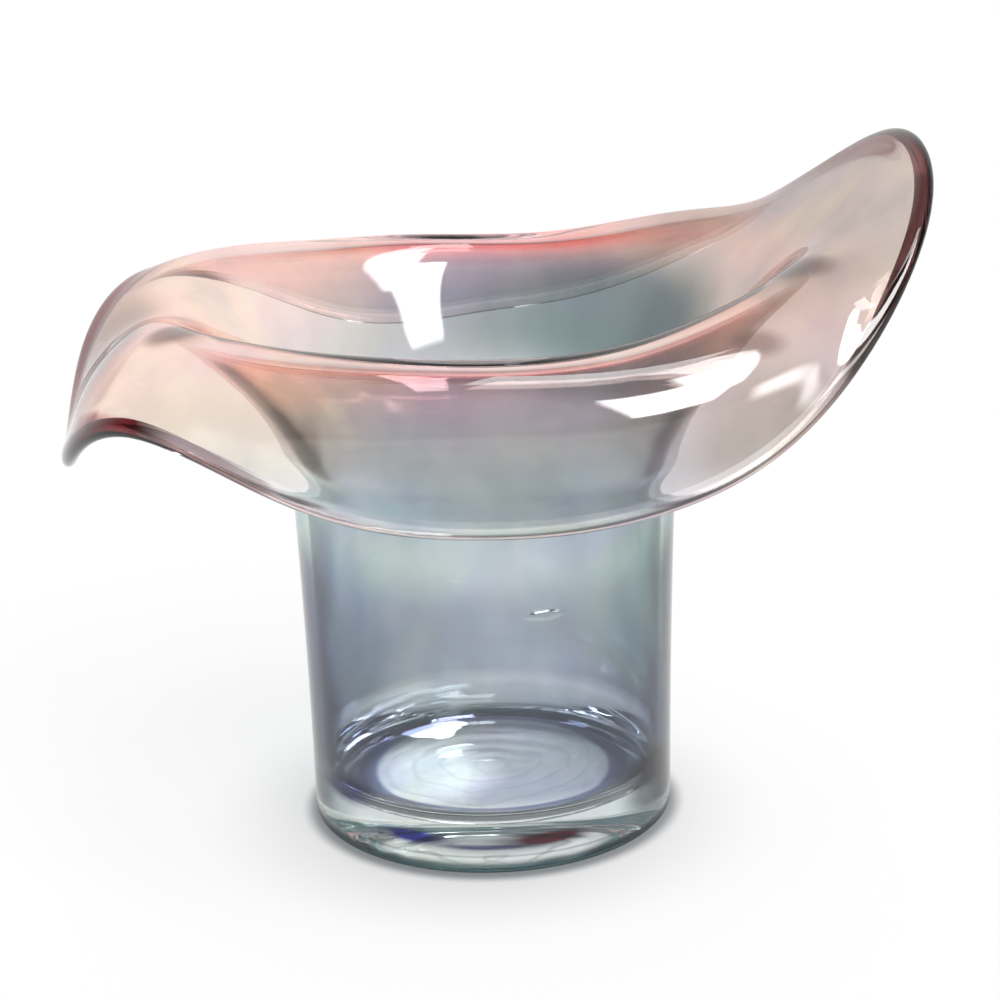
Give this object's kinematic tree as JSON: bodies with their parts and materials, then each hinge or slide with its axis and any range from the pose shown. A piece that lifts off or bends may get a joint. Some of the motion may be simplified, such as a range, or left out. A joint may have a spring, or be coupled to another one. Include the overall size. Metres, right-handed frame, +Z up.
{
  "type": "handkerchief vase",
  "caption": "Hand-worked glass vase with a heavy round foot, a nearly straight body and a flared, folded rim edged in ruby glass.",
  "frame": {"origin": "centre of the flat underside of the foot", "axes": "+Z up out of the mouth; +X towards the raised corner of the rim, -X towards the drooping corner; -Y towards the deeper of the two folds"},
  "size_m": [0.203, 0.1535, 0.1644],
  "materials": {
    "base_glass": "clear grey-violet, fire-polished",
    "body_glass": "clear blue-grey with a faint iridescent lustre",
    "rim_glass": "pale pink with an iridescent lustre",
    "ruby_glass": "deep ruby, fire-polished"
  },
  "bodies": {
    "root": {"heavy_base": "base_glass", "cylinder_wall": "body_glass", "handkerchief_rim": "rim_glass", "lip_wrap": "ruby_glass"}
  },
  "joints": []
}
